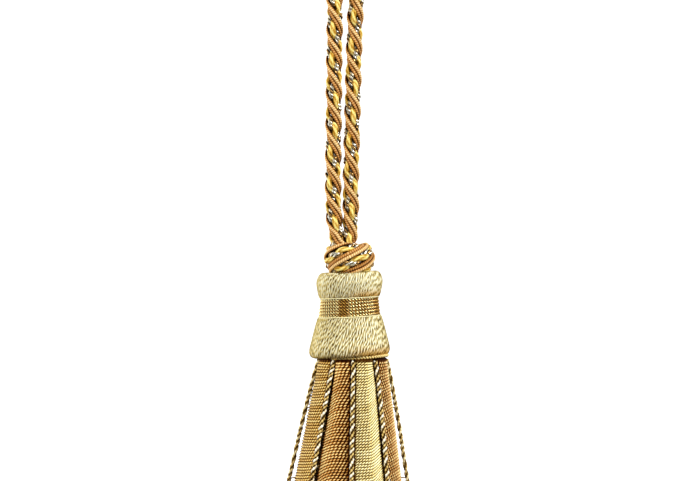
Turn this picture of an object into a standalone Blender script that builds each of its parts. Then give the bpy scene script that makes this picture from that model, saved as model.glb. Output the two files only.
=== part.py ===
"""Silk tassel on a loop of twisted rope.

A turned head is covered with twisted silk threads and bound at its waist with gold cord.
Below it hangs a skirt of eight tapered strips wound with silk, with a fine cord over each gap.

Metres, +Z up. The origin is the inside top of the loop, where the tassel hangs.
The front faces -Y, and angles round the tassel run from the front towards +X.
"""
import math
from collections import namedtuple

import bmesh
import bpy
from mathutils import Vector

MM = 0.001
GAP = 0.3 * MM

# Heights, measured down from the hang point
KNOT_TOP = -129.5 * MM
HEAD_BOTTOM = -170.5 * MM
SKIRT_TOP = HEAD_BOTTOM - GAP
SKIRT_LOW = -214.8 * MM
HEM = -236.4 * MM

# Rope of four strands, laid left-handed
ROPE_RADIUS = 2.9 * MM
ROPE_LEAD = 22.7 * MM
STRANDS = 4
STRAND_RADIUS = 1.28 * MM
STRAND_ORBIT = ROPE_RADIUS - STRAND_RADIUS
ROPE_STEPS_PER_LEAD = 10
ROPE_POINTS_PER_STRAND = 3

# The rope's route through its loop: across, back and up, from the left foot to the right foot
ROUTE_MM = [
    (-4.4, -0.4, -129.2),
    (-4.8, -0.3, -126.6),
    (-5.4, -0.1, -123.5),
    (-5.8, 0.0, -118.0),
    (-5.9, 0.0, -108.0),
    (-5.8, 0.0, -94.0),
    (-5.6, 0.0, -78.0),
    (-5.5, 0.0, -62.0),
    (-5.3, 0.0, -46.0),
    (-6.0, 0.0, -34.0),
    (-8.6, 0.0, -23.0),
    (-11.4, 0.0, -13.0),
    (-11.1, 0.0, -4.5),
    (-6.9, 0.0, 1.0),
    (0.0, 0.0, 2.9),
    (6.9, 0.0, 1.0),
    (10.9, 0.0, -4.5),
    (10.6, 0.0, -13.0),
    (6.8, 0.0, -23.0),
    (3.6, 0.0, -34.0),
    (2.2, 0.0, -46.0),
    (1.6, 0.0, -62.0),
    (1.2, 0.0, -78.0),
    (0.8, 0.0, -94.0),
    (0.5, 0.0, -108.0),
    (0.7, 0.0, -118.0),
    (0.5, 0.1, -123.5),
    (0.4, 0.3, -126.6),
    (-0.1, 0.4, -129.2),
]

# Where the knot draws the rope's feet together
SQUEEZE_START = -119.5 * MM
SQUEEZE_END = -129.2 * MM
SQUEEZE_ACROSS = 0.65
SQUEEZE_DEEP = 1.1

# Knot: both legs of the rope wound round together, a ring of eight strands on a core
KNOT_CORE_RADIUS = 5.0 * MM
KNOT_CORE_ACROSS = -1.2 * MM
KNOT_CORE_BOTTOM = -139.9 * MM
KNOT_CORE_SIDES = 24
KNOT_MIDDLE = -135.1 * MM
KNOT_RING_RADIUS = 5.75 * MM
KNOT_DEEP = 2.1 * MM
KNOT_TALL = 4.25 * MM
KNOT_STRANDS = 8
KNOT_STRAND_RADIUS = 1.35 * MM
KNOT_STRAND_SHARPNESS = 1.7
KNOT_CREST_DEG = -17
KNOT_STEPS = 40
KNOT_POINTS_PER_STRAND = 3

# Head: a turned outline, with threads raised along it
HEAD_THREADS = 66
THREAD_RELIEF = 0.3 * MM
HeadPoint = namedtuple("HeadPoint", "radius_mm z_mm relief")
HEAD_OUTLINE = [
    HeadPoint(8.6, -141.0, 0.0),
    HeadPoint(9.8, -140.0, 0.6),
    HeadPoint(11.0, -141.1, 1.0),
    HeadPoint(11.7, -143.4, 1.0),
    HeadPoint(11.1, -146.4, 1.0),
    HeadPoint(10.5, -148.7, 0.6),
    HeadPoint(8.8, -148.8, 0.0),
    HeadPoint(9.5, -156.2, 0.0),
    HeadPoint(11.2, -156.3, 0.6),
    HeadPoint(12.4, -160.0, 1.0),
    HeadPoint(13.6, -164.3, 1.0),
    HeadPoint(14.3, -167.6, 1.0),
    HeadPoint(14.1, -169.4, 0.6),
    HeadPoint(13.4, -170.5, 0.0),
]

# Waist band: rows of fine cord laid round the waist
BAND_TOP = -149.1 * MM
BAND_BOTTOM = -155.9 * MM
BAND_OUTER_TOP = 10.4 * MM
BAND_OUTER_BOTTOM = 11.1 * MM
BAND_THICK = 1.25 * MM
BAND_ROWS = 6
BAND_ROW_RELIEF = 0.3 * MM
BAND_STEPS = 44

# Skirt: a cone of strips whose middle leans a little from right to left on the way down
SKIRT_RADIUS_TOP = 12.45 * MM
SKIRT_RADIUS_LOW = 19.4 * MM
SKIRT_RADIUS_HEM = 21.8 * MM
SKIRT_LEAN_TOP = 1.2 * MM
SKIRT_LEAN_LOW = -0.5 * MM
STRIP_THICK = 1.2 * MM
STRIP_EDGE_THINNER = 0.3 * MM
STRIP_CROWN = 0.35 * MM
STRIP_STATIONS = 9
STRIP_COLUMNS = 5

# The gaps between the strips, with the cord that hangs over each
Seam = namedtuple("Seam", "name top_deg low_deg cord_low_deg gap")
SEAMS = [
    Seam("left", -88.0, -88.5, -89.0, 2.0 * MM),
    Seam("front_left", -34.0, -41.5, -38.0, 2.1 * MM),
    Seam("front", 1.0, 3.6, 3.2, 1.9 * MM),
    Seam("front_right", 41.5, 45.0, 41.5, 2.7 * MM),
    Seam("right", 90.0, 90.0, 89.5, 2.0 * MM),
    Seam("back_right", 149.0, 149.0, 149.5, 2.1 * MM),
    Seam("back", 193.5, 193.0, 193.0, 2.0 * MM),
    Seam("back_left", 232.5, 233.5, 233.0, 2.0 * MM),
]
STRIP_COLOURS = ["honey", "bronze", "champagne", "bronze", "honey", "bronze", "champagne", "bronze"]

# Skirt cords: how far each stands out from the strips, by height
CORD_HALF_ROOT = 0.5 * MM
CORD_HALF = 0.78 * MM
CORD_PLY_LEAD = 8.4 * MM
CORD_STATIONS = 32
CORD_FULL_AFTER = 8.0 * MM
CordBow = namedtuple("CordBow", "z_mm stand_out_mm")
CORD_BOW = [
    CordBow(-171.4, -0.5),
    CordBow(-174.0, 0.0),
    CordBow(-180.6, 0.55),
    CordBow(-188.9, 1.0),
    CordBow(-197.5, 1.4),
    CordBow(-206.2, 1.6),
    CordBow(-214.8, 1.95),
    CordBow(-222.0, 2.0),
    CordBow(-229.0, 1.5),
    CordBow(-234.0, 0.8),
    CordBow(-236.4, 0.4),
]
HEADING_OUTER = 10.8 * MM
HEADING_INNER = 9.4 * MM
HEADING_DEEP = 1.6 * MM
HEADING_STEPS = 48

MERGE_DISTANCE = 0.01 * MM
SHARP_ANGLE = math.radians(50)

# Colour as red, green, blue in linear light, then roughness and metallic value
Finish = namedtuple("Finish", "colour roughness metallic")
FINISHES = {
    "rope_silk": Finish((0.52, 0.31, 0.10), 0.42, 0.15),
    "head_silk": Finish((0.72, 0.62, 0.36), 0.38, 0.0),
    "gold_cord": Finish((0.60, 0.38, 0.12), 0.30, 0.8),
    "honey": Finish((0.55, 0.34, 0.11), 0.42, 0.1),
    "bronze": Finish((0.38, 0.19, 0.05), 0.42, 0.1),
    "champagne": Finish((0.68, 0.52, 0.22), 0.40, 0.1),
    "edge_cord": Finish((0.50, 0.36, 0.17), 0.32, 0.6),
}


def clear_scene():
    for item in list(bpy.data.objects):
        bpy.data.objects.remove(item, do_unlink=True)


def make_collection(name):
    group = bpy.data.collections.new(name)
    bpy.context.scene.collection.children.link(group)
    return group


def make_material(name):
    finish = FINISHES[name]
    material = bpy.data.materials.get(name)
    if material:
        return material
    material = bpy.data.materials.new(name)
    material.use_nodes = True
    shader = material.node_tree.nodes["Principled BSDF"]
    shader.inputs["Base Color"].default_value = (*finish.colour, 1.0)
    shader.inputs["Roughness"].default_value = finish.roughness
    shader.inputs["Metallic"].default_value = finish.metallic
    return material


def add_object(group, name, mesh, material_name):
    item = bpy.data.objects.new(name, mesh)
    item.data.materials.append(make_material(material_name))
    group.objects.link(item)
    return item


def blend(start, end, share):
    return start + (end - start) * share


def ease(share):
    """A smooth step from 0 to 1."""
    share = min(max(share, 0.0), 1.0)
    return share * share * (3.0 - 2.0 * share)


def point_round(angle, radius, height, lean=0.0):
    """A point at an angle from the front towards +X."""
    return Vector((lean + radius * math.sin(angle), -radius * math.cos(angle), height))


def loft(name, rings, closed_path=False):
    """A solid skinned over rings of equal point count, ended by fans or joined end to start."""
    shape = bmesh.new()
    loops = [[shape.verts.new(point) for point in ring] for ring in rings]
    count = len(rings[0])
    spans = len(loops) if closed_path else len(loops) - 1
    for index in range(spans):
        here = loops[index]
        after = loops[(index + 1) % len(loops)]
        for step in range(count):
            beside = (step + 1) % count
            shape.faces.new((here[step], here[beside], after[beside], after[step]))
    if not closed_path:
        for loop in (loops[0], loops[-1]):
            middle = shape.verts.new(sum((vert.co for vert in loop), Vector()) / count)
            for step in range(count):
                shape.faces.new((loop[step], middle, loop[(step + 1) % count]))
    bmesh.ops.recalc_face_normals(shape, faces=shape.faces)
    mesh = bpy.data.meshes.new(name)
    shape.to_mesh(mesh)
    shape.free()
    return mesh


def smooth_curve(points, spacing):
    """Points at an even spacing on the smooth curve through the route's points."""
    fine_steps = 24
    fine = []
    for index in range(len(points) - 1):
        before = points[max(index - 1, 0)]
        start = points[index]
        end = points[index + 1]
        after = points[min(index + 2, len(points) - 1)]
        for step in range(fine_steps):
            t = step / fine_steps
            fine.append(0.5 * (2.0 * start + (end - before) * t
                               + (2.0 * before - 5.0 * start + 4.0 * end - after) * t ** 2
                               + (3.0 * start - before - 3.0 * end + after) * t ** 3))
    fine.append(points[-1])
    lengths = [0.0]
    for index in range(1, len(fine)):
        lengths.append(lengths[-1] + (fine[index] - fine[index - 1]).length)
    count = max(2, round(lengths[-1] / spacing))
    even = []
    place = 0
    for step in range(count + 1):
        target = lengths[-1] * step / count
        while place < len(fine) - 2 and lengths[place + 1] < target:
            place += 1
        share = (target - lengths[place]) / (lengths[place + 1] - lengths[place])
        even.append(fine[place].lerp(fine[place + 1], share))
    return even


def rope_outline(turn, points_per_strand):
    """Distance and angle of each point round a rope's section, with a lobe for each strand."""
    outline = []
    lobe = 2.0 * math.pi / STRANDS
    for index in range(STRANDS * points_per_strand):
        offset = (index % points_per_strand) / points_per_strand * lobe - lobe / 2.0
        side = STRAND_ORBIT * math.sin(offset)
        reach = STRAND_ORBIT * math.cos(offset) + math.sqrt(STRAND_RADIUS ** 2 - side ** 2)
        middle = (index // points_per_strand) * lobe
        outline.append((reach, turn + middle + offset))
    return outline


def rope_loop():
    """The loop: one length of rope from the left foot, over the top and down to the right foot."""
    spacing = ROPE_LEAD / ROPE_STEPS_PER_LEAD
    path = smooth_curve([Vector(point) * MM for point in ROUTE_MM], spacing)
    deep = Vector((0.0, 1.0, 0.0))
    rings = []
    for index, centre in enumerate(path):
        along = (path[min(index + 1, len(path) - 1)] - path[max(index - 1, 0)]).normalized()
        if index in (0, len(path) - 1):
            along = Vector((0.0, 0.0, 1.0 if index == 0 else -1.0))
        across = deep.cross(along).normalized()
        drawn = ease((SQUEEZE_START - centre.z) / (SQUEEZE_START - SQUEEZE_END))
        wide = blend(1.0, SQUEEZE_ACROSS, drawn)
        thick = blend(1.0, SQUEEZE_DEEP, drawn)
        turn = -2.0 * math.pi * index / ROPE_STEPS_PER_LEAD
        ring = []
        for reach, angle in rope_outline(turn, ROPE_POINTS_PER_STRAND):
            ring.append(centre + across * (reach * math.cos(angle) * wide)
                        + deep * (reach * math.sin(angle) * thick))
        rings.append(ring)
    return loft("cord_loop", rings)


def knot_ring():
    """The knot's ring: its strands rise to the right at the front, one whole lead in the turn."""
    lobe = 2.0 * math.pi / KNOT_STRANDS
    rings = []
    for step in range(KNOT_STEPS):
        angle = 2.0 * math.pi * step / KNOT_STEPS
        lay = angle - math.radians(KNOT_CREST_DEG)
        ring = []
        for index in range(KNOT_STRANDS * KNOT_POINTS_PER_STRAND):
            strand, place = divmod(index, KNOT_POINTS_PER_STRAND)
            offset = place / KNOT_POINTS_PER_STRAND - 0.5
            facing = lay + (strand + offset) * lobe
            swell = KNOT_STRAND_RADIUS * math.sqrt(1.0 - (KNOT_STRAND_SHARPNESS * offset) ** 2)
            radius = KNOT_RING_RADIUS + (KNOT_DEEP + swell) * math.cos(facing)
            height = KNOT_MIDDLE + (KNOT_TALL + swell) * math.sin(facing)
            ring.append(point_round(angle, radius, height))
        rings.append(ring)
    return loft("knot_ring", rings, closed_path=True)


def join_solids(target, tools):
    for tool in tools:
        union = target.modifiers.new("join " + tool.name, "BOOLEAN")
        union.operation = "UNION"
        union.solver = "EXACT"
        union.object = tool


def knot(parts, cutters):
    """The knot: a short core with its ring of strands joined round it."""
    bpy.ops.mesh.primitive_cylinder_add(
        vertices=KNOT_CORE_SIDES, radius=KNOT_CORE_RADIUS, depth=KNOT_TOP - KNOT_CORE_BOTTOM,
        location=(KNOT_CORE_ACROSS, 0.0, (KNOT_TOP + KNOT_CORE_BOTTOM) / 2.0))
    core = bpy.context.active_object
    core.name = "knot"
    for group in list(core.users_collection):
        group.objects.unlink(core)
    parts.objects.link(core)
    core.data.materials.append(make_material("rope_silk"))
    tool = add_object(cutters, "knot_ring", knot_ring(), "rope_silk")
    tool.hide_render = True
    tool.display_type = "WIRE"
    join_solids(core, [tool])


def head():
    """The head: its turned outline, with a crest and a valley for every silk thread."""
    columns = 2 * HEAD_THREADS
    rings = []
    for spot in HEAD_OUTLINE:
        ring = []
        for column in range(columns):
            angle = 2.0 * math.pi * column / columns
            sunk = THREAD_RELIEF * spot.relief * (column % 2)
            ring.append(point_round(angle, spot.radius_mm * MM - sunk, spot.z_mm * MM))
        rings.append(ring)
    return loft("head", rings)


def waist_band():
    """The band: a ring whose outer face has a ridge for every row of cord."""
    height = (BAND_TOP - BAND_BOTTOM) / BAND_ROWS
    outline = []
    for edge in range(2 * BAND_ROWS + 1):
        share = edge / (2 * BAND_ROWS)
        radius = blend(BAND_OUTER_TOP, BAND_OUTER_BOTTOM, share)
        if edge % 2 == 0:
            radius -= BAND_ROW_RELIEF
        outline.append((radius, BAND_TOP - edge * height / 2.0))
    outline.append((BAND_OUTER_BOTTOM - BAND_THICK, BAND_BOTTOM))
    outline.append((BAND_OUTER_TOP - BAND_THICK, BAND_TOP))
    mesh = bpy.data.meshes.new("waist_band")
    edges = [(index, (index + 1) % len(outline)) for index in range(len(outline))]
    mesh.from_pydata([(radius, 0.0, z) for radius, z in outline], edges, [])
    return mesh


def turn_round(item, steps):
    screw = item.modifiers.new("turned", "SCREW")
    screw.axis = "Z"
    screw.steps = steps
    screw.render_steps = steps
    screw.use_merge_vertices = True
    screw.merge_threshold = MERGE_DISTANCE
    screw.use_smooth_shade = True


def skirt_share(height):
    return (SKIRT_TOP - height) / (SKIRT_TOP - SKIRT_LOW)


def skirt_radius(height):
    if height >= SKIRT_LOW:
        return blend(SKIRT_RADIUS_TOP, SKIRT_RADIUS_LOW, skirt_share(height))
    return blend(SKIRT_RADIUS_LOW, SKIRT_RADIUS_HEM, (SKIRT_LOW - height) / (SKIRT_LOW - HEM))


def skirt_lean(height):
    return blend(SKIRT_LEAN_TOP, SKIRT_LEAN_LOW, min(skirt_share(height), 1.0))


def seam_angle(seam, height, cord=False):
    low = seam.cord_low_deg if cord else seam.low_deg
    return math.radians(blend(seam.top_deg, low, min(skirt_share(height), 1.0)))


def strip(name, left, right):
    """A tapered strip between two seams: thin, crowned, and thinner at its edges."""
    rings = []
    for station in range(STRIP_STATIONS):
        height = blend(SKIRT_TOP, HEM, station / (STRIP_STATIONS - 1))
        radius = skirt_radius(height)
        lean = skirt_lean(height)
        start = seam_angle(left, height) + left.gap / 2.0 / radius
        end = seam_angle(right, height) - right.gap / 2.0 / radius
        front = []
        back = []
        for column in range(STRIP_COLUMNS + 1):
            across = 2.0 * column / STRIP_COLUMNS - 1.0
            angle = blend(start, end, column / STRIP_COLUMNS)
            outer = radius - STRIP_CROWN * across ** 2
            thick = STRIP_THICK - STRIP_EDGE_THINNER * across ** 2
            front.append(point_round(angle, outer, height, lean))
            back.append(point_round(angle, outer - thick, height, lean))
        rings.append(front + back[::-1])
    return loft(name, rings)


def stand_out(height):
    """How far a cord's middle stands out from the strips at a height."""
    for above, below in zip(CORD_BOW, CORD_BOW[1:]):
        if height >= below.z_mm * MM:
            share = (above.z_mm * MM - height) / ((above.z_mm - below.z_mm) * MM)
            return blend(above.stand_out_mm, below.stand_out_mm, min(max(share, 0.0), 1.0)) * MM
    return CORD_BOW[-1].stand_out_mm * MM


def skirt_cord(seam):
    """One cord from the heading out through its gap, then down in a long bow to the hem."""
    drop_top = CORD_BOW[0].z_mm * MM
    path = [point_round(seam_angle(seam, drop_top), (HEADING_OUTER + HEADING_INNER) / 2.0,
                        drop_top - CORD_HALF_ROOT, SKIRT_LEAN_TOP)]
    for station in range(CORD_STATIONS):
        height = blend(drop_top - CORD_HALF_ROOT, HEM, station / (CORD_STATIONS - 1))
        radius = skirt_radius(height) + stand_out(height)
        path.append(point_round(seam_angle(seam, height, True), radius, height, skirt_lean(height)))
    rings = []
    for index, centre in enumerate(path):
        along = (path[min(index + 1, len(path) - 1)] - path[max(index - 1, 0)]).normalized()
        round_about = point_round(seam_angle(seam, centre.z) + math.pi / 2.0, 1.0, 0.0)
        outward = round_about.cross(along).normalized()
        half = blend(CORD_HALF_ROOT, CORD_HALF, ease((drop_top - centre.z) / CORD_FULL_AFTER))
        turn = 2.0 * math.pi * (drop_top - centre.z) / CORD_PLY_LEAD
        ring = []
        for corner in range(4):
            angle = turn + corner * math.pi / 2.0
            ring.append(centre + outward * (half * math.cos(angle)) + round_about * (half * math.sin(angle)))
        rings.append(ring)
    return loft("cord_" + seam.name, rings)


def heading():
    """The ring under the head that the skirt's cords are rooted in."""
    rings = []
    for step in range(HEADING_STEPS):
        angle = 2.0 * math.pi * step / HEADING_STEPS
        ring = []
        for radius, height in ((HEADING_OUTER, SKIRT_TOP), (HEADING_OUTER, SKIRT_TOP - HEADING_DEEP),
                               (HEADING_INNER, SKIRT_TOP - HEADING_DEEP), (HEADING_INNER, SKIRT_TOP)):
            ring.append(point_round(angle, radius, height, SKIRT_LEAN_TOP))
        rings.append(ring)
    return loft("skirt_cords", rings, closed_path=True)


def skirt_cords(parts, cutters):
    """The skirt's fine cords, apart but for their roots in the heading."""
    base = add_object(parts, "skirt_cords", heading(), "edge_cord")
    tools = []
    for seam in SEAMS:
        tool = add_object(cutters, "cord_" + seam.name, skirt_cord(seam), "edge_cord")
        tool.hide_render = True
        tool.display_type = "WIRE"
        tools.append(tool)
    join_solids(base, tools)


def build():
    clear_scene()
    parts = make_collection("silk_tassel")
    cutters = make_collection("joined_pieces")
    add_object(parts, "cord_loop", rope_loop(), "rope_silk")
    knot(parts, cutters)
    add_object(parts, "head", head(), "head_silk")
    turn_round(add_object(parts, "waist_band", waist_band(), "gold_cord"), BAND_STEPS)
    for index, left in enumerate(SEAMS):
        right = SEAMS[(index + 1) % len(SEAMS)]
        if index == len(SEAMS) - 1:
            right = right._replace(top_deg=right.top_deg + 360.0, low_deg=right.low_deg + 360.0)
        name = f"strip_{index + 1}_{STRIP_COLOURS[index]}"
        add_object(parts, name, strip(name, left, right), STRIP_COLOURS[index])
    skirt_cords(parts, cutters)
    for item in parts.objects:
        item.data.shade_smooth()
        item.data.set_sharp_from_angle(angle=SHARP_ANGLE)


build()
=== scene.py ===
import math
from collections import namedtuple

import bpy
import numpy as np
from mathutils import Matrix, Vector


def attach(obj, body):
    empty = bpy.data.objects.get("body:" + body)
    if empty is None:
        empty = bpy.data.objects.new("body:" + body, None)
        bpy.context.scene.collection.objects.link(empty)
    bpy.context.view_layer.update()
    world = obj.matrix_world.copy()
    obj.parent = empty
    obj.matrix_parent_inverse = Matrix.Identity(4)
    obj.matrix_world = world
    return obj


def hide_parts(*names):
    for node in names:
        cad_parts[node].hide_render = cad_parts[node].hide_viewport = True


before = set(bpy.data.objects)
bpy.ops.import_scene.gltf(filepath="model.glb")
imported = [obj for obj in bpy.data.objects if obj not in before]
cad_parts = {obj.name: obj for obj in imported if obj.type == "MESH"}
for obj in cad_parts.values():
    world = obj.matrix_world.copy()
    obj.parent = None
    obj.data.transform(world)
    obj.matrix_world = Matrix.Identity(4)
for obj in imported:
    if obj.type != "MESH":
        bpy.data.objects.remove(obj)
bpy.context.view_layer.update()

MM = 0.001
TURN = 2.0 * math.pi

# The photograph's frame: its size, its scale on the tassel's axis, and the height in it of the knot's top
FRAME_WIDE = 696
FRAME_TALL = 481
PIXEL = 0.36 * MM
AXIS_X = 349.5
KNOT_TOP_Y = 243.0
CAMERA_DISTANCE = 850 * MM

# Heights, measured down from the hang point
KNOT_TOP = -129.5 * MM
HEAD_BOTTOM = -170.5 * MM
GAP = 0.3 * MM
SKIRT_TOP = HEAD_BOTTOM - GAP
SKIRT_LOW = -214.8 * MM
HEM = -236.4 * MM

# Seeds of the small uneven draws
HEAD_SEED = 5
CORD_SEED = 11
STRIP_SEED = 40
# Fine steps on a curve from each of its own points to the next
CURVE_STEPS = 24
# Painted shade and highlight on yarns: how pale they are at their sides, and how much more at the line that
# faces outward
CREST_SIDE = 0.3
CREST_SWING = 0.7

# Rope of four strands, laid left-handed: two of paired gimp, two of floss with a metallic yarn
ROPE_SLOTS = ["gimp", "floss", "silver", "dark", "core"]
ROPE_LEAD = 22.7 * MM
ROPE_STEP = 0.245 * MM
STRAND_ORBIT = 1.6 * MM
GIMP_RADIUS = 0.73 * MM
GIMP_APART = 0.73 * MM
GIMP_LEAN = math.radians(24)
GIMP_LIFT = 0.42 * MM
GIMP_WRAP = 0.8 * MM
GIMP_RELIEF = 0.08
GIMP_SIDES = 8
# Painted shade on the second gimp of each pair, and in the grooves between the gimps' wraps
GIMP_PAINTED_SHADES = (1.0, 0.74)
GIMP_TONE = 0.8
GIMP_TONE_RIDGE = 0.3
MIXED_ORBIT = 1.22 * MM
FLOSS_RADIUS = 1.15 * MM
FLOSS_OFFSET = 0.6 * MM
FLOSS_SIDES = 12
FLOSS_STREAKS = 4.0
FLOSS_STREAK = 3.1 * MM
FLOSS_RELIEF = 0.08
# Painted shade in the grooves between the floss's streaks
FLOSS_TONE = 0.78
FLOSS_TONE_STREAK = 0.35
METAL_PLIES = ("silver", "dark", "silver")
METAL_SIDES = 6
METAL_RADIUS = 0.46 * MM
METAL_ORBIT = 0.6 * MM
METAL_OFFSET = 0.72 * MM
METAL_LEAD = 2.6 * MM
MIXED_PERIOD = 6.7 * MM
ROPE_MIXED_START = 2.1
KNOT_MIXED_START = 1.3
# Part of the rope's length over which its paired gimps change sides, at the top of the loop, so that the gimp
# painted in shade stays lower left on both legs
PAIR_CHANGE = (0.42, 0.58)
CORE_RADIUS = 1.4 * MM
CORE_SIDES = 8
CORE_EVERY = 5
# Each yarn has a number of its own, which sets where its pattern starts
YARNS_A_STRAND = 10.0
METAL_NUMBER = 2.0
CORE_NUMBER = 50.0
KNOT_NUMBER = 100.0

# The rope's route through its loop: across, back and up, from the left foot to the right foot
ROUTE_MM = [
    (-4.4, -0.4, -129.2),
    (-4.6, -0.3, -126.6),
    (-5.15, -0.1, -123.5),
    (-5.65, 0.0, -118.0),
    (-5.9, 0.0, -108.0),
    (-5.8, 0.0, -94.0),
    (-5.6, 0.0, -78.0),
    (-5.5, 0.0, -62.0),
    (-5.3, 0.0, -46.0),
    (-6.0, 0.0, -34.0),
    (-8.6, 0.0, -23.0),
    (-11.4, 0.0, -13.0),
    (-11.1, 0.0, -4.5),
    (-6.9, 0.0, 1.0),
    (0.0, 0.0, 2.9),
    (6.9, 0.0, 1.0),
    (10.9, 0.0, -4.5),
    (10.6, 0.0, -13.0),
    (6.8, 0.0, -23.0),
    (3.6, 0.0, -34.0),
    (2.2, 0.0, -46.0),
    (1.6, 0.0, -62.0),
    (1.2, 0.0, -78.0),
    (0.8, 0.0, -94.0),
    (0.5, 0.0, -108.0),
    (0.5, 0.0, -118.0),
    (0.25, 0.1, -123.5),
    (0.2, 0.3, -126.6),
    (-0.1, 0.4, -129.2),
]
# Inside the knot the rope's feet run on, out of sight
LEFT_FOOT_MM = (-3.0, -0.4, -133.0)
RIGHT_FOOT_MM = (0.6, 0.4, -133.0)
SQUEEZE_START = -119.5 * MM
SQUEEZE_END = -129.2 * MM
SQUEEZE_ACROSS = 0.78
SQUEEZE_DEEP = 1.1

# Knot: both legs of the rope wound round together, a ring of eight strands
KNOT_MIDDLE = -135.1 * MM
KNOT_RING_RADIUS = 5.75 * MM
KNOT_DEEP = 2.1 * MM
KNOT_TALL = 4.25 * MM
KNOT_STRANDS = 8
KNOT_CREST_DEG = -17
KNOT_MIXED_SHARE = 0.88
KNOT_RINGS = 200
KNOT_FILL = 0.86
KNOT_FILL_EVERY = 4
KNOT_FILL_SIDES = 24

# Head: a turned outline covered with two-ply threads
HEAD_THREADS = 70
HEAD_COLUMNS = 6
HEAD_ROW = 0.32 * MM
THREAD_RELIEF = 0.6 * MM
THREAD_PLY = 2.3 * MM
THREAD_PLY_LEAN = 1.3
THREAD_PLY_UNEVEN = 0.3
THREAD_PLY_RISE = 0.4
THREAD_SUNK = 0.8
THREAD_SWELL = (0.8, 1.15)
THREAD_SWAY = 0.0055
THREAD_SWAY_LENGTHS = (9.0 * MM, 4.5 * MM)
THREAD_WAVER = 0.25
THREAD_WAVER_LENGTH = 7.0 * MM
# Painted shade at the threads' edges and in their ply marks
THREAD_MARK = 1.9
THREAD_EDGE_TONE = 0.35
THREAD_MARK_TONE = 0.1
THREAD_NUMBER = 3.7
HEAD_TILT = 0.045
HEAD_OUTLINE_MM = [
    (3.5, -141.0),
    (7.0, -141.0),
    (8.6, -140.7),
    (9.7, -140.3),
    (10.8, -141.2),
    (11.45, -143.4),
    (11.1, -146.2),
    (10.5, -148.5),
    (9.6, -149.3),
    (9.2, -150.5),
    (9.7, -154.8),
    (10.6, -155.8),
    (11.2, -156.6),
    (12.2, -160.0),
    (13.3, -164.3),
    (14.0, -167.2),
    (13.95, -168.8),
    (13.1, -169.8),
    (11.0, -170.0),
    (6.0, -170.0),
]
# The threads look smoother towards the left, with shallower painted shade in their ply marks. They are paler
# towards the right with a painted highlight, darker below the band with painted shade, and warmer near the
# head's two edges with a painted warm reflection and shade, most of all on the lit right. A turn is a value
# at the front and its change to the right.
HEAD_SMOOTH = 0.75
HEAD_SMOOTH_FROM = 0.5
HEAD_SMOOTH_TONE = 0.9
HEAD_PAINTED_HIGHLIGHT = 0.07
HEAD_PAINTED_HIGHLIGHT_TURN = (-0.3, 1.6)
HEAD_LOWER_FROM = -152.0 * MM
HEAD_LOWER_DEEP = 5.0 * MM
HEAD_LOWER_SHADE = 0.18
HEAD_WARM_WIDE = 2.1 * MM
HEAD_WARM_EDGES = (-149.0 * MM, -169.6 * MM)
HEAD_WARM_LEAST = 0.1
HEAD_WARM_MORE = 0.85
HEAD_WARM_TURN = (0.35, 1.3)

# Waist band: rows of two-ply metallic cord
BAND_SLOTS = ["gold", "champagne"]
BAND_TOP = -149.1 * MM
BAND_BOTTOM = -155.9 * MM
BAND_OUTER_TOP = 10.5 * MM
BAND_OUTER_BOTTOM = 11.2 * MM
BAND_ROWS = 6
BAND_PLY_RADIUS = 0.32 * MM
BAND_PLY_ORBIT = 0.38 * MM
BAND_LEAD = 2.4 * MM
BAND_RINGS_PER_LEAD = 10
BAND_ROW_TURN = 0.25
BAND_ROW_NUMBER = 5.0
# Painted shade between the band's plies, where each ply turns inward
BAND_TONE = 0.66
BAND_TONE_PLY = 0.34
BAND_EDGE_RADIUS = 0.2 * MM
BAND_EDGE_RINGS = 160
TWISTED_SIDES = 6
# Patches of the band with a painted dark reflection, or with painted glints and deeper painted shade between
# the plies
BandPatch = namedtuple("BandPatch", "middle_deg half_deg brown glint")
BAND_PATCHES = [
    BandPatch(-12, 15, 1.0, 0.0),
    BandPatch(28, 34, 0.0, 1.0),
    BandPatch(72, 26, 0.9, 0.0),
    BandPatch(110, 22, 0.0, 0.8),
    BandPatch(140, 18, 0.8, 0.0),
    BandPatch(205, 20, 1.0, 0.0),
    BandPatch(235, 20, 0.0, 0.8),
    BandPatch(262, 14, 0.7, 0.0),
]
BAND_GLINT_DEPTH = 0.75
BAND_PATCH_FADE = 1.5

# Skirt: a cone of strips whose middle leans a little from right to left on the way down
SKIRT_RADIUS_TOP = 12.45 * MM
SKIRT_RADIUS_LOW = 19.4 * MM
SKIRT_RADIUS_HEM = 21.8 * MM
SKIRT_LEAN_TOP = 1.2 * MM
SKIRT_LEAN_LOW = -0.5 * MM
STRIP_THICK = 1.2 * MM
STRIP_EDGE_THINNER = 0.3 * MM
STRIP_CROWN = 0.35 * MM
STRIP_THREADS = 66
STRIP_ROWS_PER_THREAD = 5
STRIP_COLUMNS = 46
STRIP_BACK_COLUMNS = 8
STRIP_RELIEF = 0.38 * MM
STRIP_PLY_RELIEF = 0.18 * MM
STRIP_MARK = 1.5
STRIP_WAVE = 0.45
STRIP_WAVE_RATE = 0.45
STRIP_SWELL = (0.85, 1.1)
STRIP_SHIFT_UNEVEN = 0.12
STRIP_NUMBER = 50.0
STRIP_THREAD_NUMBER = 2.3
STRIP_EDGE_BULGE = 0.18 * MM
STRIP_EDGE_RELIEF = 0.1 * MM
# Painted shade at the strips' edges beside the gaps and on their inner faces, and painted shadow from the
# head at their tops
STRIP_EDGE_FROM = 0.84
STRIP_EDGE_SHADE = 0.75
STRIP_INNER_SHADE = 0.3
STRIP_TOP_SHADE = 1.0
STRIP_TOP_DEEP = 1.55 * MM
STRIP_LEAN_FROM = 10 * MM
STRIP_LEAN_POINTS = 81
STRIP_LEAN_UNEVEN = 0.25
STRIP_LEAN_WAVE = 5.0 * MM

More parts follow.
